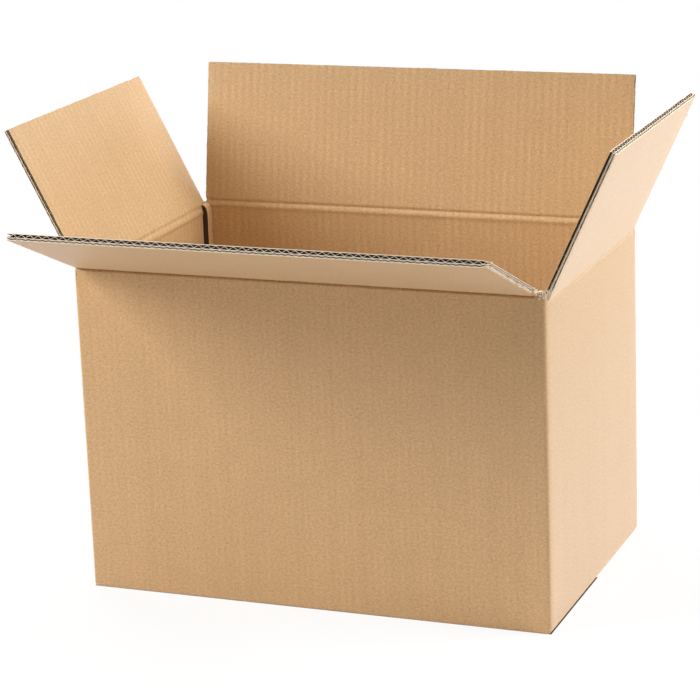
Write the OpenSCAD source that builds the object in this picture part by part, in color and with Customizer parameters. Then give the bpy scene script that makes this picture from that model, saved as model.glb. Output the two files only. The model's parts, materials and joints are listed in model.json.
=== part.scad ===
// Open shipping carton of double-wall corrugated board: a slotted tube with a folded bottom and top flaps.
// The length runs along X, the front wall faces -Y, and the carton stands on the floor at z = 0.

/* [Carton] */
// Outside length, along the front wall
carton_l = 440; // [320:1:600]
// Outside width, from the front wall to the back wall
carton_w = 284; // [200:1:400]
// Height from the floor to the long flaps' creases
carton_h = 302; // [200:1:450]
// Outside radius of the four upright folds
corner_r = 4.5; // [1:0.5:6]
// Outside radius of the folds along the floor
foot_r = 2.5; // [1:0.5:5]
// Height of the end walls' lower folds above the floor
end_foot = 2; // [0:0.5:4]

/* [Board] */
// Thickness of the double-wall board
board_t = 6.2; // [5.4:0.1:8]
// Thickness of each of the three flat liners
liner_t = 0.4; // [0.2:0.05:0.6]
// Thickness of the fluted paper
medium_t = 0.35; // [0.2:0.05:0.5]
// Pitch of the coarse flutes, next to the inside
coarse_pitch = 7.8; // [6:0.1:10]
// Height of the coarse flutes
coarse_h = 3; // [2.4:0.1:3.4]
// Pitch of the fine flutes, next to the outside
fine_pitch = 6.4; // [5:0.1:8]
// Depth of the grooves where a slit opens a flute
slit_groove = 2.4; // [1:0.1:4]

/* [Flaps] */
// Gap left between the two long top flaps when they meet over the middle
flap_gap = 14; // [2:1:40]
// Gap of the seam where the two long bottom flaps meet
seam_gap = 2; // [1:0.5:10]
// Distance of the long flaps' ends from the corners
long_inset = 5; // [3:0.5:12]
// Sideways place of the front flap between its slots
front_shift = -2; // [-2:0.5:2]
// Play of the short flaps between the long walls
tuck_gap = 0.8; // [0.4:0.1:3]
// Lean of the front flap, outwards from upright
front_lean = 66; // [0:0.5:170]
// Lean of the back flap, outwards from upright
back_lean = 10; // [0:0.5:170]
// Lean of the left flap, outwards from upright
left_lean = 27; // [20:0.5:170]
// Lean of the right flap, outwards from upright
right_lean = 25; // [20:0.5:170]

/* [Creases] */
// Clearance between a flap's foot and its crease line
crease_gap = 0.2; // [0.1:0.05:0.4]
// Clearance between a closed short flap and a long flap closed over it
ply_gap = 0.2; // [0.1:0.05:0.5]
// Length of board crushed flat beyond each crease
crush_l = 3; // [1:0.5:8]

/* [Glued joint] */
// Reach of the glued tab along the left wall, from the back wall's inside
tab_reach = 11; // [6:1:40]
// Pressed thickness of the tab
tab_t = 5.4; // [3:0.1:6]
// Length over which the tab's top is crushed to nothing
tab_taper = 16; // [8:1:40]

/* [Hidden] */

// Kraft board, outside and inside of the sheet
kraft_outside = "#c9a173";
kraft_flap = "#d3ad7f";

half_l = carton_l / 2;
half_w = carton_w / 2;
long_flap_l = (carton_w - flap_gap) / 2;
bottom_flap_l = (carton_w - seam_gap) / 2;

// The short flaps close first, one ply below the long ones
short_crease_z = carton_h - board_t - ply_gap;

// The sheet's upper edge is one straight cut, so the lower creases leave longer flaps
short_flap_l = long_flap_l + carton_h - short_crease_z;

short_inset = board_t + tuck_gap;
long_flap_w = carton_l - 2 * long_inset;
short_flap_w = carton_w - 2 * short_inset;

// Board section, counted from the outer face: liner, fine flutes, liner, coarse flutes, liner
fine_h = board_t - 3 * liner_t - coarse_h;
fine_y = liner_t;
coarse_y = 2 * liner_t + fine_h;
flute_start = crease_gap + board_t + crush_l;

// Half the width that the fluted paper takes up along the board where it meets a liner
function paper_half(pitch, h) = medium_t / 2 * sqrt(1 + pow(pitch / 2 / h, 2));

// Number of whole flutes that fit between the slit grooves of a board w wide
function flute_count(w, pitch) = floor((w - 2 * (slit_groove + medium_t)) / pitch);

// Hollow of one flute, a triangle standing on y0; a negative h hangs it from y0
function hollow(x, pitch, y0, h) =
  let (m = paper_half(pitch, abs(h)))
  [
    [x - pitch / 2 + m, y0],
    [x + pitch / 2 - m, y0],
    [x, y0 + h * (1 - 2 * m / pitch)]
  ];

// All hollows of one row of flutes, standing and hanging in turn
function flute_row(w, pitch, y0, h) =
  let (n = flute_count(w, pitch))
  concat(
    [for (i = [0:n - 1]) hollow((i - (n - 1) / 2) * pitch, pitch, y0, h)],
    [for (i = [0:n - 2]) hollow((i - (n - 2) / 2) * pitch, pitch, y0 + h, -h)]
  );

// Slit edge at x, with a groove where the slit runs through each row of flutes
function slit_edge(x, inwards) =
  [
    [x, 0],
    [x, fine_y],
    [x + inwards * slit_groove, fine_y + fine_h / 2],
    [x, fine_y + fine_h],
    [x, coarse_y],
    [x + inwards * slit_groove, coarse_y + coarse_h / 2],
    [x, coarse_y + coarse_h],
    [x, board_t]
  ];

function reversed(list) = [for (i = [len(list) - 1:-1:0]) list[i]];

// Section across the flutes of a board w wide, with its outer face on y = 0
module board_section(w) {
  outline = concat(slit_edge(w / 2, -1), reversed(slit_edge(-w / 2, 1)));
  hollows = concat(
    flute_row(w, fine_pitch, fine_y, fine_h),
    flute_row(w, coarse_pitch, coarse_y, coarse_h)
  );
  corners = [for (h = hollows) each h];
  first = len(outline);
  polygon(
    points = concat(outline, corners),
    paths = concat(
      [[for (i = [0:first - 1]) i]],
      [for (k = [0:len(hollows) - 1]) [for (j = [0:2]) first + 3 * k + j]]
    )
  );
}

// Section drawn as [y, z], run along X
module run_along_x(run) {
  rotate([90, 0, 90])
    linear_extrude(run, center = true)
      children();
}

// Upright flap board: the crease on the X axis, the outer face on y = 0 and the flutes open at the top
module flap_board(w, l) {
  run_along_x(w)
    polygon([
      [0, crease_gap],
      [0, flute_start],
      [board_t, flute_start],
      [board_t, crease_gap + board_t]
    ]);
  translate([0, 0, flute_start])
    linear_extrude(l - flute_start)
      board_section(w);
}

// Flap on the wall that faces side degrees round from the front
module hung_flap(side, reach, crease_z, lean, w, l, shift = 0) {
  rotate([0, 0, side])
    translate([shift, -reach, crease_z])
      rotate([lean, 0, 0])
        flap_board(w, l);
}

// Wall section as [y, z]: rounded at the foot, and cut back inside the crease so that a flap can close
module wall_section(reach, foot_z, crease_z) {
  translate([-reach, 0]) {
    polygon([
      [0, foot_z + foot_r],
      [board_t, foot_z + foot_r],
      [board_t, crease_z - board_t],
      [0, crease_z]
    ]);
    translate([foot_r, foot_z])
      square([board_t - foot_r, foot_r]);
    translate([foot_r, foot_z + foot_r])
      circle(foot_r, $fn = 48);
  }
}

// Wall with its bottom flap folded in at height ply_z
module panel(side, run, reach, foot_z, crease_z, flap_w, ply_z) {
  rotate([0, 0, side]) {
    run_along_x(run)
      wall_section(reach, foot_z, crease_z);
    translate([-flap_w / 2, foot_r - reach, ply_z])
      cube([flap_w, bottom_flap_l - foot_r, board_t]);
  }
}

// Upright column with the four rounded folds
module folded_column() {
  linear_extrude(carton_h)
    union() {
      square([carton_l - 2 * corner_r, carton_w], center = true);
      square([carton_l, carton_w - 2 * corner_r], center = true);
      for (x = [-1, 1], y = [-1, 1])
        translate([x * (half_l - corner_r), y * (half_w - corner_r)])
          circle(corner_r, $fn = 48);
    }
}

// Tab of the back wall, folded round the corner and glued inside the left wall
module glued_tab() {
  root = board_t / 2;
  low = board_t;
  high = short_crease_z - board_t;
  translate([root - half_l, half_w - root, 0])
    rotate([90, 0, 0])
      linear_extrude(board_t - root + tab_reach)
        polygon([
          [0, low],
          [board_t - root + tab_t, low],
          [board_t - root + tab_t, high - tab_taper],
          [board_t - root, high],
          [0, high]
        ]);
}

module carton_body() {
  color(kraft_outside) {
    intersection() {
      folded_column();
      union() {
        for (side = [0, 180])
          panel(side, carton_l, half_w, 0, carton_h, long_flap_w, 0);
        for (side = [90, 270])
          panel(side, carton_w, half_l, end_foot, short_crease_z, short_flap_w, board_t);
      }
    }
    glued_tab();
  }
}

module front_flap() {
  color(kraft_flap)
    hung_flap(0, half_w, carton_h, front_lean, long_flap_w, long_flap_l, front_shift);
}

module right_flap() {
  color(kraft_flap)
    hung_flap(90, half_l, short_crease_z, right_lean, short_flap_w, short_flap_l);
}

module back_flap() {
  color(kraft_flap)
    hung_flap(180, half_w, carton_h, back_lean, long_flap_w, long_flap_l);
}

module left_flap() {
  color(kraft_flap)
    hung_flap(270, half_l, short_crease_z, left_lean, short_flap_w, short_flap_l);
}

carton_body();
front_flap();
back_flap();
left_flap();
right_flap();
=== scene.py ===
"""Open shipping carton of double-wall corrugated kraft board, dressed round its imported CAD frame."""

import json
import math
import random
from collections import namedtuple

import bmesh
import bpy
from bpy.props import FloatProperty, FloatVectorProperty, PointerProperty
from mathutils import Matrix, Vector, noise


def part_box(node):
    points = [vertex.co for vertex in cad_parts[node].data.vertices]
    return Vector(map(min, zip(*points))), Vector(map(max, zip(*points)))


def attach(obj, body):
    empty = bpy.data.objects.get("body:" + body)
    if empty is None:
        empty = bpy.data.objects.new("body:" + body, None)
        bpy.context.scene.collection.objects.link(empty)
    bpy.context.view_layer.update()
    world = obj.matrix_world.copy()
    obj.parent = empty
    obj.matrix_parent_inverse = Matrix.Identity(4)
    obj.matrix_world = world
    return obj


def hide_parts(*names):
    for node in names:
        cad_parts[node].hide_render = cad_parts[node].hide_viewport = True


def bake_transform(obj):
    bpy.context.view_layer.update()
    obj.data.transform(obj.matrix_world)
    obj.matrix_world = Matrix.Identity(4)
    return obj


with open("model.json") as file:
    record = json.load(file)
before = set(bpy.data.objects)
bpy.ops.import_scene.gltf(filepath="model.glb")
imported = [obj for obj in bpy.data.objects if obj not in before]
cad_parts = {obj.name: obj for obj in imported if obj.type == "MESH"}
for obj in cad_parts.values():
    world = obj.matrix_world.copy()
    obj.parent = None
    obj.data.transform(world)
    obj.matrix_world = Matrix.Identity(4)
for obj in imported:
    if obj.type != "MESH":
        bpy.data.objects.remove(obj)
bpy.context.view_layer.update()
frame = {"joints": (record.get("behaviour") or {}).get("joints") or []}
BODY_LOW, BODY_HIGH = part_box("carton_body")

bl_info = {
    "name": "Open Shipping Carton",
    "version": (1, 0, 0),
    "blender": (4, 5, 0),
    "location": "View3D > Sidebar > Carton",
    "description": "Builds an open carton of double-wall corrugated board round its CAD frame",
    "category": "Object",
}

MM = 0.001
SIDES = {"front": 0, "right": 90, "back": 180, "left": 270}
CARTON_L = BODY_HIGH.x - BODY_LOW.x
CARTON_W = BODY_HIGH.y - BODY_LOW.y
CARTON_H = BODY_HIGH.z - BODY_LOW.z

BOARD = 6.2 * MM

# A wall's crease and the flap on it: the way the wall faces, how far out the crease lies, its height,
# the flap's lean from upright, its width along the crease, its sideways place and its length
Crease = namedtuple("Crease", "side reach height lean width shift length")


def linear(code):
    """An sRGB hex colour as linear red, green, blue and alpha."""
    shares = [int(code[i:i + 2], 16) / 255 for i in (1, 3, 5)]
    return tuple(s / 12.92 if s <= 0.04045 else ((s + 0.055) / 1.055) ** 2.4 for s in shares) + (1.0,)


def crease_of(name):
    """The crease of one wall, read from its joint and its flap's box in the frame."""
    joint = next(j for j in frame["joints"] if j["child"] == name + "_flap")
    low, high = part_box(name + "_flap")
    along = 0 if name in ("front", "back") else 1
    middle = (low[along] + high[along]) / 2
    # The lower limit is closed flat, a right angle inwards from upright
    lean = math.radians(-joint["range_deg"][0] - 90)
    height = joint["pos_m"][2]
    return Crease(
        side=math.radians(SIDES[name]),
        reach=abs(joint["pos_m"][1 - along]),
        height=height,
        lean=lean,
        width=high[along] - low[along],
        shift=middle if name in ("front", "right") else -middle,
        length=(high.z - height - BOARD * math.sin(lean)) / math.cos(lean),
    )


CREASES = {name: crease_of(name) for name in SIDES}
LONG, SHORT = CREASES["front"], CREASES["right"]

# How the knife left each flap's slit edges, at its own left and right end seen from outside: the share of
# the thickness that it crushed, the width of outer skin that it tore off, and whether the inner liner's cut
# edge is brown like the inside liner instead of pale
Slit = namedtuple("Slit", "crush torn rolled")
SLITS = {
    "front": Slit((0.06, 0.62), (0.0, 6.0 * MM), (True, False)),
    "right": Slit((0.12, 0.2), (0.8 * MM, 0.6 * MM), (True, True)),
    "back": Slit((0.2, 0.25), (0.0, 0.0), (True, True)),
    "left": Slit((0.25, 0.15), (0.0, 0.4 * MM), (True, True)),
}

# Scraps of torn board left on a slit edge: the flap's end they sit on and their share of its length
SCRAPS = {"right": (1, 0.85), "left": (-1, 0.34)}

# Each wall's paper starts at its own place in the pattern, this far from the next wall's
PAPER_STEP = 10.0


class BoardSizes(bpy.types.PropertyGroup):
    """Sizes of the double-wall board; its papers are drawn a little thicker than real, so that they show."""

    thickness: FloatProperty(
        name="Board", description="Thickness of the board", default=BOARD, unit="LENGTH")
    liner: FloatProperty(
        name="Liner", description="Thickness of each flat sheet", default=0.6 * MM, unit="LENGTH")
    medium: FloatProperty(
        name="Medium", description="Thickness of the fluted paper", default=0.5 * MM, unit="LENGTH")
    coarse_pitch: FloatProperty(
        name="Coarse pitch", description="Pitch of the flutes next to the inside",
        default=7.8 * MM, unit="LENGTH")
    coarse_height: FloatProperty(
        name="Coarse height", description="Height of the flutes next to the inside",
        default=2.9 * MM, unit="LENGTH")
    fine_pitch: FloatProperty(
        name="Fine pitch", description="Pitch of the flutes next to the outside",
        default=6.4 * MM, unit="LENGTH")
    ragged: FloatProperty(
        name="Ragged edge", description="How far the slit edges wander", default=0.25 * MM, unit="LENGTH")
    crush_run: FloatProperty(
        name="Crush run", description="Width along a slit edge that the knife crushes",
        default=7 * MM, unit="LENGTH")


class FoldSizes(bpy.types.PropertyGroup):
    """Sizes of the folds and creases."""

    corner: FloatProperty(
        name="Corner", description="Outside radius of the upright folds", default=2.6 * MM, unit="LENGTH")
    press: FloatProperty(
        name="Press", description="How far the end walls are pressed in at the upright folds",
        default=0.9 * MM, unit="LENGTH")
    press_run: FloatProperty(
        name="Press run", description="Width along an upright fold over which an end wall is pressed in",
        default=12 * MM, unit="LENGTH")
    foot: FloatProperty(
        name="Foot", description="Outside radius of the folds along the floor",
        default=2.5 * MM, unit="LENGTH")
    end_foot: FloatProperty(
        name="End foot", description="Height of the end walls' lower folds above the floor",
        default=2 * MM, unit="LENGTH")
    seam: FloatProperty(
        name="Bottom seam", description="Gap between the long bottom flaps", default=2 * MM, unit="LENGTH")
    bottom_aside: FloatProperty(
        name="Bottom aside", description="How far the back bottom flap lies towards the right",
        default=3 * MM, unit="LENGTH")
    run: FloatProperty(
        name="Crease run", description="Length of board on each side that a crease bends or crushes",
        default=9 * MM, unit="LENGTH")
    groove: FloatProperty(
        name="Groove", description="Depth of the pressed line on the inside of an upright flap",
        default=1.3 * MM, unit="LENGTH")
    tuft: FloatProperty(
        name="Tuft", description="Height of the torn board left standing at the front right corner",
        default=3.6 * MM, unit="LENGTH")
    score: FloatProperty(
        name="Score", description="Depth of the pressed line on the outside of a flap folded right over",
        default=3.4 * MM, unit="LENGTH")
    bead: FloatProperty(
        name="Bead", description="Height of the swelling below a crease on the inside",
        default=0.8 * MM, unit="LENGTH")
    tab_reach: FloatProperty(
        name="Tab reach", description="Length of the glued tab along the left wall",
        default=11 * MM, unit="LENGTH")
    tab_thickness: FloatProperty(
        name="Tab thickness", description="Pressed thickness of the glued tab",
        default=5.4 * MM, unit="LENGTH")
    tab_taper: FloatProperty(
        name="Tab taper", description="Length over which the tab's top is crushed",
        default=13 * MM, unit="LENGTH")


class KraftColours(bpy.types.PropertyGroup):
    """Colours of the papers."""

    outside: FloatVectorProperty(
        name="Outside liner", description="Unbleached kraft on the outside",
        subtype="COLOR", size=4, default=linear("#cda473"))
    inside: FloatVectorProperty(
        name="Inside liner", description="Unbleached kraft on the inside",
        subtype="COLOR", size=4, default=linear("#ceab7e"))
    # The fluted paper's colour is also painted on the floor under the carton as painted shade
    medium: FloatVectorProperty(
        name="Fluted paper", description="Greyer recycled paper of the flutes",
        subtype="COLOR", size=4, default=linear("#57432d"))
    cut: FloatVectorProperty(
        name="Cut edge", description="Bare fibres at a cut or torn edge",
        subtype="COLOR", size=4, default=linear("#fbe2c8"))
    floor: FloatVectorProperty(
        name="Floor", description="Matt white studio paper",
        subtype="COLOR", size=4, default=linear("#f6f6f6"))
    room: FloatVectorProperty(
        name="Room", description="Grey floor of the room, round the studio paper",
        subtype="COLOR", size=4, default=linear("#a8a8a8"))


class StudioView(bpy.types.PropertyGroup):
    """Place of the camera."""

    azimuth: FloatProperty(
        name="Azimuth", description="Turn of the camera round the carton",
        default=math.radians(21.752), subtype="ANGLE")
    elevation: FloatProperty(
        name="Elevation", description="Height of the camera above the horizon",
        default=math.radians(15.818), subtype="ANGLE")
    roll: FloatProperty(
        name="Roll", description="Tilt of the camera about its line of sight",
        default=math.radians(-2.157), subtype="ANGLE")
    distance: FloatProperty(
        name="Distance", description="Distance of the camera from the carton's middle",
        default=2.4862, unit="LENGTH")
    aside: FloatProperty(
        name="Aside", description="Sideways place of the camera", default=-0.0147, unit="LENGTH")
    above: FloatProperty(
        name="Above", description="Upward place of the camera", default=0.0488, unit="LENGTH")
    focal: FloatProperty(
        name="Focal length", description="Focal length in millimetres on a 36 mm sensor", default=138.25)


# Materials


def add(tree, kind, inputs=None, **settings):
    """Adds a node with its settings; each of its inputs is a value, or the socket that feeds it."""
    made = tree.nodes.new(kind)
    for name, value in settings.items():
        setattr(made, name, value)
    for socket, value in (inputs or {}).items():
        if isinstance(value, bpy.types.NodeSocket):
            tree.links.new(value, made.inputs[socket])
        else:
            made.inputs[socket].default_value = value
    return made


def shade(colour, factor):
    """A colour made darker or lighter by a factor."""
    return tuple(min(1.0, c * factor) for c in colour[:3]) + (1.0,)


def new_material(name):
    """An empty material and its node tree."""
    made = bpy.data.materials.new(name)
    made.use_nodes = True
    made.node_tree.nodes.clear()
    return made, made.node_tree


def kraft_liner(name, colour, pitch, washboard, roughness, sheen):
    """Unbleached kraft liner: matt machine-made paper, mottled and cloudy, with dark and pale fibre flecks.

    The flutes behind it raise a faint, patchy washboard at their own pitch: a bump, with its shade painted
    in.
    """
    cloud_mm, mottle_mm, fibre_mm, streak_mm, cell_mm = 25, 2.1, 1.0, 10, 9
    made, tree = new_material(name)
    place = add(tree, "ShaderNodeTexCoord")
    mm = add(tree, "ShaderNodeVectorMath", {0: place.outputs["UV"], "Scale": 1 / MM},
             operation="SCALE").outputs[0]
    across = add(tree, "ShaderNodeSeparateXYZ", {0: mm})

    # Cloudy formation of the sheet
    cloud = add(tree, "ShaderNodeTexNoise",
                {"Vector": mm, "Scale": 1 / cloud_mm, "Detail": 3, "Roughness": 0.6}).outputs["Fac"]
    # Mottling of the pulp
    mottle = add(tree, "ShaderNodeTexNoise",
                 {"Vector": mm, "Scale": 1 / mottle_mm, "Detail": 3, "Roughness": 0.75}).outputs["Fac"]
    # Fibres lie across the flutes; they are finer than a pixel, so they are drawn 1 mm wide to show
    lie = add(tree, "ShaderNodeVectorMath", {0: mm, 1: (0.3, 1.0, 1.0)}, operation="MULTIPLY")
    fibre = add(tree, "ShaderNodeTexNoise",
                {"Vector": lie.outputs[0], "Scale": 1 / fibre_mm, "Detail": 2, "Roughness": 0.6,
                 "Distortion": 0.8}).outputs["Fac"]
    # Streaks that run with the flutes
    drawn = add(tree, "ShaderNodeVectorMath", {0: mm, 1: (1.0, 0.02, 1.0)}, operation="MULTIPLY")
    streak = add(tree, "ShaderNodeTexNoise",
                 {"Vector": drawn.outputs[0], "Scale": 1 / streak_mm, "Detail": 2,
                  "Roughness": 0.6}).outputs["Fac"]
    # Flecks of bark and of bleached fibre, each about 1 mm, one to a cell and shown in a few cells only
    fleck = add(tree, "ShaderNodeTexVoronoi", {"Vector": mm, "Scale": 1 / cell_mm}, feature="F1")
    draw = add(tree, "ShaderNodeSeparateColor", {0: fleck.outputs["Color"]})

    tone = add(tree, "ShaderNodeMix",
               {"Factor": cloud, "A": shade(colour, 0.94), "B": shade(colour, 1.06)}, data_type="RGBA")
    # The flutes' patchy washboard goes into the bump, and into the colour as painted shade of its ripples
    patchy = add(tree, "ShaderNodeMapRange",
                 {"Value": cloud, "From Min": 0.35, "From Max": 0.65, "To Min": 0.0, "To Max": washboard})
    turns = add(tree, "ShaderNodeMath", {0: across.outputs["X"], 1: 2 * math.pi * MM / pitch},
                operation="MULTIPLY")
    flute = add(tree, "ShaderNodeMath", {0: turns.outputs[0]}, operation="SINE")
    washboard_bump_and_shade = add(tree, "ShaderNodeMath", {0: flute.outputs[0], 1: patchy.outputs[0]},
                operation="MULTIPLY").outputs[0]

    # The washboard's stripes start the colour's level as painted shade; the grain added to them is the
    # paper's own
    light = washboard_bump_and_shade
    for pattern, spread in ((mottle, 1.05), (fibre, 0.4), (streak, 0.12)):
        part = add(tree, "ShaderNodeMath", {0: pattern, 1: -0.5}, operation="ADD")
        light = add(tree, "ShaderNodeMath", {0: part.outputs[0], 1: spread, 2: light},
                    operation="MULTIPLY_ADD").outputs[0]
    # Darker pulp is also greyer: its blue changes more than its red, so the eye sees the grain as plain grey
    level = add(tree, "ShaderNodeVectorMath", {0: light, 1: (0.83, 1.0, 1.34), 2: (1.0, 1.0, 1.0)},
                operation="MULTIPLY_ADD")
    paper = add(tree, "ShaderNodeVectorMath", {0: tone.outputs["Result"], 1: level.outputs[0]},
                operation="MULTIPLY").outputs[0]
    dark_bark = ("Red", 0.07, 0.075, 0.45, 0.75)
    pale_fibre = ("Green", 0.2, 0.07, 1.35, 0.6)
    for channel, share, width, factor, strength in (dark_bark, pale_fibre):
        chosen = add(tree, "ShaderNodeMath", {0: draw.outputs[channel], 1: share}, operation="LESS_THAN")
        dot = add(tree, "ShaderNodeMapRange",
                  {"Value": fleck.outputs["Distance"], "From Min": width, "From Max": width * 0.4,
                   "To Min": 0.0, "To Max": strength})
        shown = add(tree, "ShaderNodeMath", {0: chosen.outputs[0], 1: dot.outputs[0]}, operation="MULTIPLY")
        paper = add(tree, "ShaderNodeMix",
                    {"Factor": shown.outputs[0], "A": paper, "B": shade(colour, factor)},
                    data_type="RGBA").outputs["Result"]

    relief = add(tree, "ShaderNodeMath", {0: mottle, 1: 0.4, 2: washboard_bump_and_shade}, operation="MULTIPLY_ADD")
    bump = add(tree, "ShaderNodeBump", {"Height": relief.outputs[0], "Strength": 0.5, "Distance": 0.25 * MM})
    dull = add(tree, "ShaderNodeMapRange",
               {"Value": mottle, "To Min": roughness - 0.08, "To Max": roughness + 0.08})
    # The nap of the fibres, that pales the sheet where it is seen at a slant
    nap = add(tree, "ShaderNodeMapRange",
              {"Value": mottle, "From Min": 0.3, "From Max": 0.7,
               "To Min": 0.75 * sheen, "To Max": 1.2 * sheen})
    skin = add(tree, "ShaderNodeBsdfPrincipled",
               {"Base Color": paper, "Roughness": dull.outputs[0], "Normal": bump.outputs[0], "IOR": 1.5,
                "Specular IOR Level": 0.5, "Sheen Weight": nap.outputs[0], "Sheen Roughness": 0.4,
                "Sheen Tint": linear("#feeedb")})
    add(tree, "ShaderNodeOutputMaterial", {"Surface": skin.outputs[0]})
    return made


def bare_paper(name, colour, spread):
    """Bare paper at a cut, or the fluted sheet: rougher than a liner, with short loose fibres."""
    made, tree = new_material(name)
    place = add(tree, "ShaderNodeTexCoord")
    # Loose fibres are finer than a pixel, so they are drawn this wide to show
    fibre_width = 0.8 * MM
    fibre = add(tree, "ShaderNodeTexNoise",
                {"Vector": place.outputs["Object"], "Scale": 1 / fibre_width, "Detail": 3,
                 "Roughness": 0.7}).outputs["Fac"]
    tone = add(tree, "ShaderNodeMix",
               {"Factor": fibre, "A": shade(colour, 1 - spread), "B": shade(colour, 1 + spread)},
               data_type="RGBA")
    bump = add(tree, "ShaderNodeBump", {"Height": fibre, "Strength": 0.6, "Distance": 0.2 * MM})
    skin = add(tree, "ShaderNodeBsdfPrincipled",
               {"Base Color": tone.outputs["Result"], "Normal": bump.outputs[0],
                "IOR": 1.5, "Roughness": 0.85, "Sheen Weight": 0.1})
    add(tree, "ShaderNodeOutputMaterial", {"Surface": skin.outputs[0]})
    return made


PAPERS = ("kraft_outside", "kraft_inside", "fluted_medium", "cut_kraft_edge")
OUTSIDE, INSIDE, MEDIUM, CUT = range(4)


def papers(scene):
    """The four papers of the board, made once: outside liner, inside liner, fluted paper and cut edge."""
    if PAPERS[OUTSIDE] not in bpy.data.materials:
        colours, board = scene.carton_colours, scene.carton_board
        kraft_liner(PAPERS[OUTSIDE], colours.outside, board.fine_pitch,
                    washboard=0.03, roughness=0.44, sheen=0.82)
        kraft_liner(PAPERS[INSIDE], colours.inside, board.coarse_pitch,
                    washboard=0.07, roughness=0.62, sheen=0.05)
        bare_paper(PAPERS[MEDIUM], colours.medium, spread=0.15)
        bare_paper(PAPERS[CUT], colours.cut, spread=0.12)
    return [bpy.data.materials[name] for name in PAPERS]


# Mesh helpers

# The flutes and liners press towards this share of the thickness where the knife crushes the board
CORE = 0.6

# A liner has two columns to each step of its width, and a few close ones along each slit edge
COLUMN_STEP = 8 * MM
CLOSE_COLUMNS = 6
CLOSE_STEP = 0.7 * MM

# Straight pieces that a flute's curve is made of
FLUTE_BENDS = 12

# Each board's noise starts at its own seed, the top flaps' first and the bottom flaps' after them
SEED_STEP = 10

# Edges that bend more than this stay crisp
CRISP = math.radians(38)


def smooth(x):
    """A share from 0 to 1 with a soft start and end."""
    x = min(1.0, max(0.0, x))
    return x * x * (3 - 2 * x)


def wander(*place):
    """Smooth noise from about -1 to 1 at a place."""
    return noise.noise(Vector(place))


def wall_place(crease, turn=0.0):
    """Where a wall's crease lies: its outer face on y = 0, the crease on the X axis and up along Z."""
    return (Matrix.Rotation(crease.side, 4, "Z")
            @ Matrix.Translation((crease.shift, -crease.reach, crease.height))
            @ Matrix.Rotation(turn, 4, "X"))


def put(scene, name, data):
    """Puts a new object with its mesh, lamp or camera into the scene."""
    made = bpy.data.objects.new(name, data)
    scene.collection.objects.link(made)
    return made


def finish_piece(name, bm, scene, body=None):
    """Makes a mesh object of a finished bmesh, with the papers on it and its edges kept crisp."""
    mesh = bpy.data.meshes.new(name)
    bm.to_mesh(mesh)
    bm.free()
    mesh.polygons.foreach_set("use_smooth", [True] * len(mesh.polygons))
    mesh.set_sharp_from_angle(angle=CRISP)
    for paper in papers(scene):
        mesh.materials.append(paper)
    piece = put(scene, name, mesh)
    if body:
        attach(piece, body)
    return piece


def map_board(bm, start):
    """Gives a board a UV map in metres: across the flutes, from its own start, and along them."""
    uv = bm.loops.layers.uv.verify()
    for face in bm.faces:
        for loop in face.loops:
            loop[uv].uv = (loop.vert.co.x + start, loop.vert.co.z)


def whole(bm):
    """All points, edges and faces of a bmesh."""
    return bm.verts[:] + bm.edges[:] + bm.faces[:]


def lay_sheet(bm, width, low, high, y, paper, columns, rows, shape):
    """Lays one sheet of paper in a board, from y inwards; shape moves each point before it is thickened."""
    place = (Matrix.Translation((0, y, (low + high) / 2)) @ Matrix.Rotation(math.pi / 2, 4, "X")
             @ Matrix.Diagonal((width, high - low, 1, 1)))
    before = set(bm.faces)
    grid = bmesh.ops.create_grid(bm, x_segments=columns, y_segments=rows, size=0.5, matrix=place)
    for vert in grid["verts"]:
        vert.co = shape(vert.co)
    bmesh.ops.solidify(bm, geom=[f for f in bm.faces if f not in before], thickness=paper)
    made = [f for f in bm.faces if f not in before]
    bmesh.ops.recalc_face_normals(bm, faces=made)
    return made


def crowd(x, half, columns):
    """Moves the even columns of a sheet so that the last few lie close together along its slit edges."""
    close = CLOSE_COLUMNS * CLOSE_STEP
    from_edge = (half - abs(x)) / (2 * half) * columns
    if from_edge <= CLOSE_COLUMNS:
        inwards = from_edge * CLOSE_STEP
    else:
        inwards = close + (from_edge - CLOSE_COLUMNS) * (half - close) / (columns / 2 - CLOSE_COLUMNS)
    return math.copysign(half - inwards, x)


def flute_wave(phase):
    """Height of a fluted sheet from -1 to 1: straight flanks and round tips."""
    # The nearer to 1, the sharper the tips
    sharp = 0.97
    return math.asin(sharp * math.sin(2 * math.pi * phase)) / math.asin(sharp)


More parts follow.
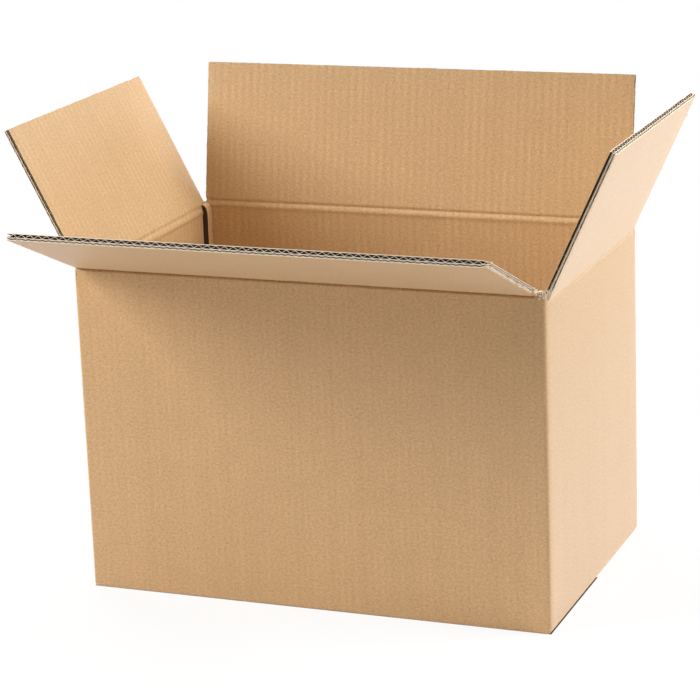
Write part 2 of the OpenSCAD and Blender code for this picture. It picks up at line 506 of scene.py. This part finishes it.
def lay_board(board, width, low, high, seed, slit, grain=1.4 * MM):
    """A board with its flutes open at the far end: three liners and two fluted sheets between them.

    Each wander is noise, over the length that its place is divided by.
    """
    bm = bmesh.new()
    half = width / 2
    fine_height = board.thickness - 3 * board.liner - board.coarse_height
    middle_y = board.liner + fine_height
    inner_y = board.thickness - board.liner
    core = CORE * board.thickness
    columns = 2 * (round(width / COLUMN_STEP) + CLOSE_COLUMNS)
    rows = int((high - low) / grain)
    ragged_run, end_run, open_run = 2.5 * MM, 3 * MM, 2 * MM

    def pressed(x, y):
        """The depth y once the knife has crushed the board near its slit edges."""
        near = smooth((abs(x) - half + board.crush_run) / board.crush_run)
        return y + near * slit.crush[x > 0] * (core - y)

    def edges(co, depth):
        """Ragged, crushed slit edges and a slightly uneven free edge."""
        side = math.copysign(1, co.x)
        across = crowd(co.x, half, columns)
        near = smooth((abs(across) - half + ragged_run) / ragged_run)
        rough = (wander(co.z / (6 * MM), depth / MM, seed + side)
                 + 0.8 * wander(co.z / (1.7 * MM), depth / MM, seed - side))
        skin = min(1.5 * MM, 0.5 * slit.torn[side > 0]) if depth == 0 else 0.0
        end = smooth((co.z - high + end_run) / end_run)
        uneven = (0.24 * MM * (0.6 + wander(across / (7 * MM), depth / MM, seed))
                  + 0.4 * MM * wander(across / (25 * MM), 5, seed))
        return Vector((across + side * near * (board.ragged + skin) * (rough - 0.8),
                       pressed(across, co.y),
                       co.z - end * uneven))

    for y, facing in ((0, OUTSIDE), (middle_y, MEDIUM), (inner_y, INSIDE)):
        for face in lay_sheet(bm, width, low, high, y, board.liner, columns, rows, lambda co: edges(co, y)):
            flat = abs(face.normal.y) > 0.7
            outward = (face.normal.y < 0) == (facing == OUTSIDE)
            face.material_index = CUT if not flat else facing if outward else MEDIUM
            at = face.calc_center_median()
            # Where the slit says so, the inner liner's cut edge keeps the inside liner's brown
            if facing == INSIDE and abs(face.normal.x) > 0.7 and slit.rolled[at.x > 0]:
                face.material_index = INSIDE
            skinned = slit.torn[at.x > 0] * (0.55 + 0.6 * wander(at.z / (2.5 * MM), seed, 1)
                                             + 0.4 * wander(at.z / MM, seed, 2))
            if facing == OUTSIDE and outward and half - abs(at.x) < skinned:
                face.material_index = CUT

    for y, pitch, height, paper in (
            (board.liner, board.fine_pitch, fine_height, 0.75 * board.medium),
            (middle_y + board.liner, board.coarse_pitch, board.coarse_height, board.medium)):
        swing = (height - paper) / 2
        # Where a slit opens a flute, it lies on the middle liner
        shut = 1 if pitch == board.fine_pitch else -1

        def flute(co):
            """A flute, a little uneven from one to the next, and sunk at the free edge."""
            phase = co.x / pitch + 0.07 * wander(co.x / pitch / 2, seed, y / MM)
            opened = smooth((abs(co.x) - half + end_run) / open_run)
            wave = flute_wave(phase) * (1 - opened) + shut * opened
            sunk = smooth((co.z - high + end_run) / end_run) * 0.15 * MM
            return Vector((co.x, pressed(co.x, co.y + swing + swing * wave), co.z - sunk))

        bends = int(width / pitch * FLUTE_BENDS)
        for face in lay_sheet(bm, width - 1 * MM, low, high, y, paper, bends, 2, flute):
            face.material_index = CUT if abs(face.normal.z) > 0.7 else MEDIUM

    # The flutes' last flanks, torn by the knife, close most of the fine row along each slit as one pale band
    lip, lip_paper, inset = 0.7 * MM, 0.3 * MM, 1.4 * MM
    band_y = middle_y + board.liner + 0.8 * MM
    for side in (-1, 1):

        def flank(co):
            """From past the middle liner outwards: to the outer liner at a torn end, else short of it."""
            share = co.x / lip + 0.5
            jag = (0.6 * wander(co.z / (7 * MM), seed, 3 * side)
                   + 0.4 * wander(co.z / (2 * MM), seed, 5 * side))
            short = board.liner + (0.1 if slit.torn[side > 0] > MM else 0.75 + jag) * MM
            x = side * (half - inset + share * lip - 0.2 * MM * wander(co.z / (4 * MM), seed, side))
            return Vector((x, pressed(x, band_y + share * (short - band_y)), co.z))

        for face in lay_sheet(bm, lip, low, high, 0, lip_paper, 3, rows, flank):
            face.material_index = CUT
    return bm


def run_section(bm, points, axis, length, steps):
    """Runs a closed section along an axis and caps its ends; a point is its place and its layers' values."""
    ring = []
    for place, values in points:
        vert = bm.verts.new(place)
        for layer, value in values.items():
            vert[layer] = value
        ring.append(vert)
    ends = [bm.edges.new((ring[i - 1], ring[i])) for i in range(len(ring))]
    for _ in range(steps):
        made = bmesh.ops.extrude_edge_only(bm, edges=ends)["geom"]
        verts = {g for g in made if isinstance(g, bmesh.types.BMVert)}
        bmesh.ops.translate(bm, verts=list(verts), vec=axis * (length / steps))
        ends = [g for g in made if isinstance(g, bmesh.types.BMEdge) and verts.issuperset(g.verts)]
    bmesh.ops.holes_fill(bm, edges=[e for e in bm.edges if e.is_boundary], sides=0)
    bmesh.ops.recalc_face_normals(bm, faces=bm.faces[:])


# Pieces

# How far the corners between the slots, and the tab, end below the long creases
SLOT_DROP = 1.5 * MM

# Shares of the press run at which an end wall is cut across, so that it can curve there
PRESS_CUTS = (0.6, 0.8, 1.0, 1.15)


def corner_drop(x, half, radius):
    """How far a rounded corner falls back from the wall's face at x."""
    over = min(radius, max(0.0, abs(x) - half + radius))
    return radius - math.sqrt(radius * radius - over * over)


def pressed_in(y, folds):
    """How far an end wall is pressed in at y, beside an upright fold."""
    return folds.press * max(0.0, (abs(y) - CARTON_W / 2 + folds.press_run) / folds.press_run) ** 2


def is_upright(edge):
    """Whether an edge rises."""
    return abs(edge.verts[0].co.z - edge.verts[1].co.z) > MM


def looks_out(face):
    """Whether a face is upright and looks away from the carton's middle."""
    return abs(face.normal.z) < 0.1 and face.normal.xy.dot(face.calc_center_median().xy) > 0


def tube(bm, folds, board, low, high):
    """The four walls as one folded tube of board."""
    plan = Matrix.Translation((0, 0, low)) @ Matrix.Diagonal((CARTON_L, CARTON_W, 1, 1))
    bmesh.ops.create_grid(bm, x_segments=1, y_segments=1, size=0.5, matrix=plan)
    ring = bmesh.ops.inset_region(bm, faces=bm.faces[:], thickness=board.thickness, use_even_offset=True,
                                  use_boundary=True)["faces"]
    bmesh.ops.delete(bm, geom=[f for f in bm.faces if f not in ring], context="FACES")
    risen = bmesh.ops.extrude_face_region(bm, geom=bm.faces[:])["geom"]
    bmesh.ops.translate(bm, verts=[g for g in risen if isinstance(g, bmesh.types.BMVert)],
                        vec=(0, 0, high - low))
    corners = [e for e in bm.edges if is_upright(e) and abs(e.verts[0].co.x) > CARTON_L / 2 - MM]
    bmesh.ops.bevel(bm, geom=corners, offset=folds.corner, offset_type="OFFSET", segments=6, profile=0.5,
                    affect="EDGES", material=-1)
    for share in PRESS_CUTS:
        for side in (-1, 1):
            bmesh.ops.bisect_plane(bm, geom=whole(bm), plane_no=(0, 1, 0),
                                   plane_co=(0, side * (CARTON_W / 2 - share * folds.press_run), 0))
    for vert in bm.verts:
        vert.co.x -= math.copysign(pressed_in(vert.co.y, folds), vert.co.x)
    bmesh.ops.recalc_face_normals(bm, faces=bm.faces[:])


class CARTON_OT_fold_walls(bpy.types.Operator):
    """Folds the four walls into a tube with rounded corners"""

    bl_idname = "carton.fold_walls"
    bl_label = "Fold Walls"

    def execute(self, context):
        scene = context.scene
        board, folds = scene.carton_board, scene.carton_folds
        top = SHORT.height - folds.run
        bm = bmesh.new()
        tube(bm, folds, board, 0.0, top)

        foot_edges = [e for e in bm.edges if all(v.co.z < MM for v in e.verts)
                      and any(looks_out(f) for f in e.link_faces)]
        bmesh.ops.bevel(bm, geom=foot_edges, offset=folds.foot, offset_type="OFFSET", segments=4,
                        profile=0.5, affect="EDGES", material=-1)
        # The end walls' lower folds lie a little above the floor, as their flaps fold in over the long ones
        raised = 2 * folds.foot
        for vert in bm.verts:
            if vert.co.z < raised:
                at_end = smooth((abs(vert.co.x) - CARTON_L / 2 + folds.corner) / folds.corner)
                vert.co.z += folds.end_foot * at_end * (1 - vert.co.z / raised)

        self.corner_posts(bm, board, folds, top)
        bmesh.ops.recalc_face_normals(bm, faces=bm.faces[:])
        self.paper(bm)
        piece = finish_piece("carton_walls", bm, scene, "carton")
        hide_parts("carton_body")
        return {"FINISHED"}

    def corner_posts(self, bm, board, folds, top):
        """What stands between the slots at each corner: the folded board, crumpled by the knife."""
        spare = bpy.data.meshes.new("post")
        for corner_x in (-1, 1):
            for corner_y in (-1, 1):
                long_crease = CREASES["front" if corner_y < 0 else "back"]
                end = long_crease.width / 2 - corner_y * corner_x * long_crease.shift
                torn = corner_x > 0 > corner_y
                high = LONG.height + (folds.tuft if torn else -SLOT_DROP)
                post = bmesh.new()
                tube(post, folds, board, top, high)
                for place, way in (((corner_x * end, 0, 0), (corner_x, 0, 0)),
                                   ((0, corner_y * SHORT.width / 2, 0), (0, corner_y, 0))):
                    bmesh.ops.bisect_plane(post, geom=whole(post), plane_co=place, plane_no=way,
                                           clear_inner=True)
                bmesh.ops.holes_fill(post, edges=[e for e in post.edges if e.is_boundary], sides=0)
                bmesh.ops.triangulate(post, faces=post.faces[:])
                upright = [e for e in post.edges if is_upright(e)]
                bmesh.ops.subdivide_edges(post, edges=upright, cuts=6, use_grid_fill=True)
                bmesh.ops.triangulate(post, faces=post.faces[:])
                for vert in post.verts:
                    self.crumple(vert, high, 1.0 if torn else 0.12)
                post.to_mesh(spare)
                post.free()
                bm.from_mesh(spare)
        bpy.data.meshes.remove(spare)

    def crumple(self, vert, high, share):
        """Bends a post's upper points as torn board, by a share of the worst tear."""
        run, lump, lift = 9 * MM, 2.2 * MM, 2.6 * MM
        torn = share * smooth((vert.co.z - high + run) / run)
        spot = vert.co / lump
        inwards = Vector((-math.copysign(1, vert.co.x), -math.copysign(1, vert.co.y), 0))
        vert.co += inwards * torn * MM * (0.7 + 0.9 * wander(*spot))
        vert.co.z += torn * lift * wander(spot.y, spot.x, 7)

    def paper(self, bm):
        """Puts both liners on the walls, and a UV map in metres that starts at each wall's crease."""
        uv = bm.loops.layers.uv.verify()
        facing = [(k, crease, Matrix.Rotation(-crease.side, 3, "Z"))
                  for k, crease in enumerate(CREASES.values())]
        for face in bm.faces:
            centre, normal = face.calc_center_median(), face.normal
            outer = normal.xy.dot(centre.xy) > 0
            out = normal if outer else -normal
            k, crease, turn = min(facing, key=lambda wall: (wall[2] @ out).y)
            level = abs(normal.z) > 0.7
            face.material_index = OUTSIDE if outer or level else INSIDE
            # The front right corner is torn above a ragged line
            if centre.x > 0 > centre.y and centre.z > LONG.height + 2.5 * MM * wander(*centre / (2 * MM)):
                face.material_index = CUT if wander(*centre / MM) > -0.3 else MEDIUM
            for loop in face.loops:
                co = turn @ loop.vert.co
                loop[uv].uv = (co.x + PAPER_STEP * k, co.z - crease.height)


class CARTON_OT_fold_bottom(bpy.types.Operator):
    """Folds the four bottom flaps in, the short pair over the long pair"""

    bl_idname = "carton.fold_bottom"
    bl_label = "Fold Bottom"

    def execute(self, context):
        scene = context.scene
        board, folds = scene.carton_board, scene.carton_folds
        length = (CARTON_W - folds.seam) / 2
        folded_in = Matrix.Rotation(math.pi, 4, Vector((0, 1, 1)))
        for k, (name, crease) in enumerate(CREASES.items()):
            ply = 0.0 if name in ("front", "back") else board.thickness
            aside = folds.bottom_aside if name == "back" else 0.0
            seed = SEED_STEP * (len(CREASES) + k)
            bm = lay_board(board, crease.width, board.thickness, length, seed, SLITS["back"], grain=5 * MM)
            place = (Matrix.Rotation(crease.side, 4, "Z") @ Matrix.Translation((-aside, -crease.reach, ply))
                     @ folded_in)
            map_board(bm, PAPER_STEP * (len(CREASES) + k))
            bmesh.ops.transform(bm, matrix=place, verts=bm.verts)
            finish_piece(name + "_bottom_flap", bm, scene, "carton")
        return {"FINISHED"}


class CARTON_OT_glue_tab(bpy.types.Operator):
    """Glues the back wall's tab inside the left wall, its top crushed flat"""

    bl_idname = "carton.glue_tab"
    bl_label = "Glue Tab"

    def execute(self, context):
        scene = context.scene
        board, folds = scene.carton_board, scene.carton_folds
        wall_x = board.thickness - CARTON_L / 2
        back_y = CARTON_W / 2 - board.thickness
        low, high = 2 * board.thickness, LONG.height - SLOT_DROP
        thick, front_y = folds.tab_thickness, back_y - folds.tab_reach
        liner, groove = board.liner * thick / board.thickness, 2 * MM
        split = thick * 0.4
        section = [(0, 0), (liner, 0), ((liner + split) / 2, groove), (split, 0), (split + liner, 0),
                   ((split + thick) / 2, groove), (thick - liner, 0), (thick, 0),
                   (thick, folds.tab_reach), (0, folds.tab_reach)]
        bm = bmesh.new()
        foot = [((wall_x + x, front_y + y, low), {}) for x, y in section]
        run_section(bm, foot, Vector((0, 0, 1)), high - low, steps=180)
        thinnest = 0.04
        for vert in bm.verts:
            over = min(1.0, max(0.0, (vert.co.z - high + folds.tab_taper) / folds.tab_taper))
            pressed = max(thinnest, math.sqrt(1 - over ** 2.5))
            wavy = 0.15 * MM * wander(vert.co.z / (9 * MM), 3, 5)
            vert.co.x = wall_x + (vert.co.x - wall_x) * pressed + wavy
            vert.co.y += 0.3 * MM * wander(vert.co.z / (6 * MM), vert.co.x / MM, 9)
        bm.normal_update()
        uv = bm.loops.layers.uv.verify()
        for face in bm.faces:
            # The cut front edge and its grooves take the dark fluted paper, the liners' edges too: partly
            # the real fluted paper, partly painted shade of the open flutes
            front = face.normal.y < -0.3 or face.calc_center_median().y < front_y + groove
            face.material_index = MEDIUM if front else INSIDE
            for loop in face.loops:
                loop[uv].uv = (loop.vert.co.y, loop.vert.co.z)
        piece = finish_piece("glued_tab", bm, scene)
        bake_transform(piece)
        return {"FINISHED"}


class CARTON_OT_hang_flaps(bpy.types.Operator):
    """Hangs the four top flaps, with open flutes along their free edges"""

    bl_idname = "carton.hang_flaps"
    bl_label = "Hang Flaps"

    def execute(self, context):
        scene = context.scene
        board, folds = scene.carton_board, scene.carton_folds
        for k, (name, crease) in enumerate(CREASES.items()):
            bm = lay_board(board, crease.width, folds.run, crease.length, SEED_STEP * k, SLITS[name])
            map_board(bm, PAPER_STEP * k + crease.shift)
            bmesh.ops.transform(bm, matrix=wall_place(crease, crease.lean), verts=bm.verts)
            piece = finish_piece(name + "_flap_board", bm, scene, name + "_flap")
            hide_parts(name + "_flap")
        return {"FINISHED"}


class CARTON_OT_press_creases(bpy.types.Operator):
    """Presses the creases that join each flap to its wall"""

    bl_idname = "carton.press_creases"
    bl_label = "Press Creases"

    def execute(self, context):
        for k, name in enumerate(CREASES):
            self.press(context.scene, k, name)
        return {"FINISHED"}

    def press(self, scene, k, name):
        """One crease: a strip of board from wall to flap, bent and pressed; s runs up from its line."""
        board, folds, crease, slit = scene.carton_board, scene.carton_folds, CREASES[name], SLITS[name]
        half, bend = crease.width / 2, 4 * MM
        wall_half = (CARTON_L if name in ("front", "back") else CARTON_W) / 2
        wall_run = crease.height - SHORT.height + folds.run
        core = CORE * board.thickness
        # The further a flap is folded out, the sharper its line outside and the flatter its groove inside
        folded = math.sin(crease.lean)
        score, line = folds.score * folded ** 2, (2.4 - 1.6 * folded) * MM
        round_off = (2.8 - 2.2 * folded) * MM
        groove = folds.groove * max(0.6, 1 - crease.lean / 0.7)
        groove_s, groove_w = 0.4 * MM, 1.3 * MM
        bead_s, bead_w = -3.6 * MM, 2 * MM
        score_fade, stir_run = 3 * MM, 4 * MM
        # The share of the thickness that the knife crushed at the crease itself
        crushed = 0.1
        rise = Vector((0, -math.sin(crease.lean), math.cos(crease.lean)))

        def face_line(s):
            """The outer face's place at s past the crease, rounded off at the bend."""
            if abs(s) >= round_off:
                return s * (rise if s > 0 else Vector((0, 0, 1)))
            share = (s + round_off) / (2 * round_off)
            return round_off * (share ** 2 * rise - (1 - share) ** 2 * Vector((0, 0, 1)))

        bm = bmesh.new()
        reach = bm.verts.layers.float.new("reach")
        inner = bm.verts.layers.float.new("inner")
        steps = 14
        reaches = [-wall_run * (i / steps) ** 2 for i in range(steps, 0, -1)]
        reaches += [folds.run * (i / steps) ** 2 for i in range(steps + 1)]
        section = [((-half, 0, s), {reach: s, inner: 0.0}) for s in reaches]
        section += [((-half, board.thickness, s), {reach: s, inner: 1.0}) for s in reversed(reaches)]
        run_section(bm, section, Vector((1, 0, 0)), crease.width, int(crease.width / (2.5 * MM)))

        for vert in bm.verts:
            x, s = vert.co.x, vert[reach]
            side = math.copysign(1, x)
            from_end = half - abs(x)
            if vert[inner]:
                depth = board.thickness - groove * math.exp(-((s - groove_s) / groove_w) ** 2)
                depth += folds.bead * math.exp(-((s - bead_s) / bead_w) ** 2)
            else:
                depth = score * math.exp(-(s / line) ** 2) * smooth(from_end / score_fade)
                fallen = corner_drop(x + crease.shift, wall_half, folds.corner)
                if name in ("left", "right"):
                    fallen += pressed_in(x, folds)
                depth += fallen * (1 - smooth(s / bend + 1))
            # The knife crushed the flap's ends, and hardly the wall's
            if s > 0:
                taken = crushed + (slit.crush[x > 0] - crushed) * s / folds.run
            else:
                taken = crushed * (1 + s / wall_run)
            ended = 1 - smooth(from_end / board.crush_run)
            depth += ended * taken * (core - depth)
            stir = math.exp(-(s / stir_run) ** 2) * wander(x / (9 * MM), s / (3 * MM), 7 * k + vert[inner])
            depth += 0.18 * MM * stir
            ragged = wander(s / (1.5 * MM), depth / (1.5 * MM), k + side) - 0.4
            x += side * ended ** 3 * 0.9 * MM * ragged * (1 - smooth(-s / wall_run))
            turn = crease.lean * smooth((s + bend) / (2 * bend))
            vert.co = Vector((x, 0, 0)) + face_line(s) + depth * Vector((0, math.cos(turn), math.sin(turn)))

        uv = bm.loops.layers.uv.verify()
        for face in bm.faces:
            sides = {vert[inner] for vert in face.verts}
            face.material_index = INSIDE if sides == {1.0} else OUTSIDE
            # Faces that join both sides end the crease: bare fibres where the slit tore the skin
            if len(sides) > 1:
                torn = slit.torn[face.calc_center_median().x > 0] > 0
                face.material_index = CUT if torn else INSIDE
            for loop in face.loops:
                loop[uv].uv = (loop.vert.co.x + PAPER_STEP * k + crease.shift, loop.vert[reach])
        place = wall_place(crease)
        bmesh.ops.transform(bm, matrix=place, verts=bm.verts)
        piece = finish_piece(name + "_crease", bm, scene)
        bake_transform(piece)


class CARTON_OT_fray_slots(bpy.types.Operator):
    """Leaves loose fibres where the knife tore the board, at the slots' ends and along the slit edges"""

    bl_idname = "carton.fray_slots"
    bl_label = "Fray Slots"

    def execute(self, context):
        scene = context.scene
        board, folds = scene.carton_board, scene.carton_folds
        per_end, per_scrap, at_corner = 26, 4, 120
        draw = random.Random(11)
        for name in (n for n in CREASES if any(SLITS[n].torn)):
            crease = CREASES[name]
            bm = bmesh.new()
            for end in (-1, 1):
                for _ in range(per_end if SLITS[name].torn[end > 0] else 0):
                    # Most fibres sit near the crease
                    up = folds.run + (crease.length - folds.run) * draw.random() ** 3
                    deep = draw.uniform(0.1, 0.95) * board.thickness
                    place = (end * (crease.width / 2 - 0.6 * MM), deep, up)
                    self.fibre(bm, draw, place, end, MM)
            if name in SCRAPS:
                end, share = SCRAPS[name]
                for _ in range(per_scrap):
                    place = (end * crease.width / 2, 0.3 * board.thickness, share * crease.length)
                    self.fibre(bm, draw, place, end, 2.6 * MM)
            bmesh.ops.transform(bm, matrix=wall_place(crease, crease.lean), verts=bm.verts)
            finish_piece(name + "_flap_fibres", bm, scene, name + "_flap")

        bm = bmesh.new()
        for _ in range(at_corner):
            place = (CARTON_L / 2 - draw.uniform(0.2, 9.0) * MM,
                     draw.uniform(0.2, 9.0) * MM - CARTON_W / 2,
                     LONG.height + draw.uniform(-1.5, 1.5) * MM)
            self.fibre(bm, draw, place, 1, draw.uniform(1.4, 2.6) * MM, upright=True)
        finish_piece("corner_fibres", bm, scene, "carton")
        return {"FINISHED"}

    def fibre(self, bm, draw, place, end, size, upright=False):
        """One torn sliver of paper, curled, that stands off its edge."""
        length = draw.uniform(1.0, 2.8) * size
        width = draw.uniform(0.25, 0.7) * size
        curl = draw.uniform(-0.5, 0.5)
        before = set(bm.faces)
        sliver = bmesh.ops.create_grid(bm, x_segments=1, y_segments=4, size=0.5,
                                       matrix=Matrix.Diagonal((width, length, 1, 1)))
        for vert in sliver["verts"]:
            along = vert.co.y / length + 0.5
            vert.co.x *= 1 - 0.8 * along * along
            vert.co.z = curl * length * along * along
        tilt = draw.uniform(-1.3, 1.3)
        lift = draw.uniform(0.2, 1.2) if upright else draw.uniform(-0.7, 0.7)
        turned = (Matrix.Translation(place) @ Matrix.Rotation(-end * math.pi / 2 + tilt, 4, "Z")
                  @ Matrix.Rotation(lift, 4, "X") @ Matrix.Rotation(draw.uniform(0, 3), 4, "Y"))
        bmesh.ops.transform(bm, matrix=turned, verts=sliver["verts"])
        bmesh.ops.solidify(bm, geom=[f for f in bm.faces if f not in before], thickness=0.12 * MM)
        made = [f for f in bm.faces if f not in before]
        bmesh.ops.recalc_face_normals(bm, faces=made)
        for face in made:
            face.material_index = CUT


# Stage

# Soft boxes round the carton: place and side in metres, and power in watts
LAMPS = (
    ("front_box", (0.0, -1.0, 2.4), 1.2, 7),
    ("left_box", (-2.2, -1.2, 1.8), 1.4, 88),
    ("right_box", (1.9, 0.5, 1.9), 1.4, 52),
    ("back_box", (1.2, 2.5, 0.7), 1.4, 20),
    ("top_right_box", (0.9, 0.9, 2.3), 1.2, 14),
    ("top_left_box", (-0.9, 0.9, 2.3), 1.2, 23),
)
MIDDLE = Vector((0, 0, CARTON_H / 2))
FLOOR_HALF = 20.0
SENSOR_MM = 36.0
WHITE = (1, 1, 1, 1)


class CARTON_OT_set_stage(bpy.types.Operator):
    """Sets out the floor, the soft lights and the camera"""

    bl_idname = "carton.set_stage"
    bl_label = "Set Stage"

    def execute(self, context):
        scene = context.scene
        scene.view_settings.view_transform = "Standard"
        self.floor(scene)
        self.sky(scene)
        for name, place, size, watts in LAMPS:
            self.lamp(scene, name, place, size, watts)
        self.camera(scene)
        return {"FINISHED"}

    def watched(self, tree):
        """The socket that is 1 for a ray from the camera, straight or by way of gloss or glass."""
        path = add(tree, "ShaderNodeLightPath")
        seen = add(tree, "ShaderNodeMath",
                   {0: path.outputs["Is Camera Ray"], 1: path.outputs["Is Glossy Ray"]}, operation="MAXIMUM")
        return add(tree, "ShaderNodeMath", {0: seen.outputs[0], 1: path.outputs["Is Transmission Ray"]},
                   operation="MAXIMUM").outputs[0]

    def floor(self, scene):
        """Matt white paper; away from the carton the camera sees it as plain white."""
        bm = bmesh.new()
        bmesh.ops.create_grid(bm, x_segments=1, y_segments=1, size=FLOOR_HALF)
        mesh = bpy.data.meshes.new("floor")
        bm.to_mesh(mesh)
        bm.free()
        put(scene, "floor", mesh)
        made, tree = new_material("studio_paper")
        place = add(tree, "ShaderNodeTexCoord").outputs["Object"]
        far = add(tree, "ShaderNodeVectorMath", {0: place}, operation="LENGTH").outputs["Value"]
        fade = add(tree, "ShaderNodeMapRange",
                   {"Value": far, "From Min": 0.25, "From Max": 0.6, "To Min": 0.8, "To Max": 1.0},
                   interpolation_type="SMOOTHSTEP")
        watched = self.watched(tree)
        # Under the carton's front half and its seam, just inside its walls, the floor is painted dark:
        # painted shade
        painted_shade_l, painted_shade_front, painted_shade_back = CARTON_L - 1.2 * MM, 1.5 * MM - CARTON_W / 2, 4 * MM
        painted_shade_w = painted_shade_back - painted_shade_front
        plan = add(tree, "ShaderNodeVectorMath",
                   {0: place, 1: (2 / painted_shade_l, 2 / painted_shade_w, 0.0),
                    2: (0.0, -(painted_shade_front + painted_shade_back) / painted_shade_w, 0.0)}, operation="MULTIPLY_ADD")
        away = add(tree, "ShaderNodeVectorMath", {0: plan.outputs[0]}, operation="ABSOLUTE")
        sides = add(tree, "ShaderNodeSeparateXYZ", {0: away.outputs[0]})
        most = add(tree, "ShaderNodeMath", {0: sides.outputs["X"], 1: sides.outputs["Y"]},
                   operation="MAXIMUM")
        clear = add(tree, "ShaderNodeMath", {0: most.outputs[0], 1: 1.0},
                    operation="GREATER_THAN").outputs[0]
        open_floor = add(tree, "ShaderNodeMath", {0: fade.outputs[0], 1: clear}, operation="MULTIPLY")
        share = add(tree, "ShaderNodeMath", {0: open_floor.outputs[0], 1: watched}, operation="MULTIPLY")
        # The paper ends about 1 m out: beyond, less light comes back from the room's own floor
        edge = add(tree, "ShaderNodeMapRange", {"Value": far, "From Min": 0.6, "From Max": 1.2},
                   interpolation_type="SMOOTHSTEP")
        colours = scene.carton_colours
        ground = add(tree, "ShaderNodeMix",
                     {"Factor": edge.outputs[0], "A": colours.floor, "B": colours.room}, data_type="RGBA")
        # Painted shade: the fluted paper's dark colour on the floor under the carton
        deep = add(tree, "ShaderNodeMix",
                   {"Factor": clear, "A": colours.medium, "B": ground.outputs["Result"]}, data_type="RGBA")
        matt = add(tree, "ShaderNodeBsdfDiffuse", {"Color": deep.outputs["Result"]})
        white = add(tree, "ShaderNodeEmission", {"Color": WHITE, "Strength": 1.0})
        mixed = add(tree, "ShaderNodeMixShader",
                    {0: share.outputs[0], 1: matt.outputs[0], 2: white.outputs[0]})
        add(tree, "ShaderNodeOutputMaterial", {"Surface": mixed.outputs[0]})
        mesh.materials.append(made)

    def sky(self, scene):
        """White to the camera, and a faint even light on the carton."""
        world = bpy.data.worlds.new("studio")
        world.use_nodes = True
        tree = world.node_tree
        tree.nodes.clear()
        watched = self.watched(tree)
        soft = add(tree, "ShaderNodeBackground", {"Color": WHITE, "Strength": 0.02})
        white = add(tree, "ShaderNodeBackground", {"Color": WHITE, "Strength": 1.0})
        mixed = add(tree, "ShaderNodeMixShader", {0: watched, 1: soft.outputs[0], 2: white.outputs[0]})
        add(tree, "ShaderNodeOutputWorld", {"Surface": mixed.outputs[0]})
        scene.world = world

    def lamp(self, scene, name, place, size, watts):
        """A square soft box that looks at the carton's middle."""
        light = bpy.data.lights.new(name, "AREA")
        light.shape, light.size, light.energy = "SQUARE", size, watts
        lamp = put(scene, name, light)
        lamp.location = place
        lamp.rotation_euler = (MIDDLE - Vector(place)).to_track_quat("-Z", "Y").to_euler()

    def camera(self, scene):
        """The camera at the photograph's angle, turned about the carton's middle and moved aside and up."""
        view = scene.carton_view
        back = Vector((math.sin(view.azimuth) * math.cos(view.elevation),
                       -math.cos(view.azimuth) * math.cos(view.elevation),
                       math.sin(view.elevation)))
        right = Vector((math.cos(view.azimuth), math.sin(view.azimuth), 0))
        up = back.cross(right)
        tilt = Matrix.Rotation(view.roll, 3, back)
        right, up = tilt @ right, tilt @ up
        data = bpy.data.cameras.new("camera")
        data.lens, data.sensor_width = view.focal, SENSOR_MM
        camera = put(scene, "camera", data)
        eye = MIDDLE + right * view.aside + up * view.above + back * view.distance
        camera.matrix_world = Matrix.Translation(eye) @ Matrix((right, up, back)).transposed().to_4x4()
        scene.camera = camera


class CARTON_PT_panel(bpy.types.Panel):
    """Steps that build the carton, with its sizes and colours"""

    bl_idname = "CARTON_PT_panel"
    bl_label = "Open Carton"
    bl_space_type = "VIEW_3D"
    bl_region_type = "UI"
    bl_category = "Carton"

    def draw(self, context):
        for step in STEPS:
            self.layout.operator(step.bl_idname)
        for group in (context.scene.carton_board, context.scene.carton_folds, context.scene.carton_colours,
                      context.scene.carton_view):
            box = self.layout.box()
            for name in group.__annotations__:
                box.prop(group, name)


GROUPS = {"carton_board": BoardSizes, "carton_folds": FoldSizes, "carton_colours": KraftColours,
          "carton_view": StudioView}
STEPS = (CARTON_OT_set_stage, CARTON_OT_fold_walls, CARTON_OT_fold_bottom, CARTON_OT_glue_tab,
         CARTON_OT_hang_flaps, CARTON_OT_press_creases, CARTON_OT_fray_slots)


def register():
    """Registers the groups, the steps and the panel."""
    for made in (*GROUPS.values(), *STEPS, CARTON_PT_panel):
        bpy.utils.register_class(made)
    for name, group in GROUPS.items():
        setattr(bpy.types.Scene, name, PointerProperty(type=group))


def unregister():
    """Takes them away again."""
    for name in GROUPS:
        delattr(bpy.types.Scene, name)
    for made in reversed((*GROUPS.values(), *STEPS, CARTON_PT_panel)):
        bpy.utils.unregister_class(made)


def main():
    """Builds the carton step by step."""
    register()
    bpy.ops.carton.set_stage()
    bpy.ops.carton.fold_walls()
    bpy.ops.carton.fold_bottom()
    bpy.ops.carton.glue_tab()
    bpy.ops.carton.hang_flaps()
    bpy.ops.carton.press_creases()
    bpy.ops.carton.fray_slots()


if __name__ == "__main__":
    main()
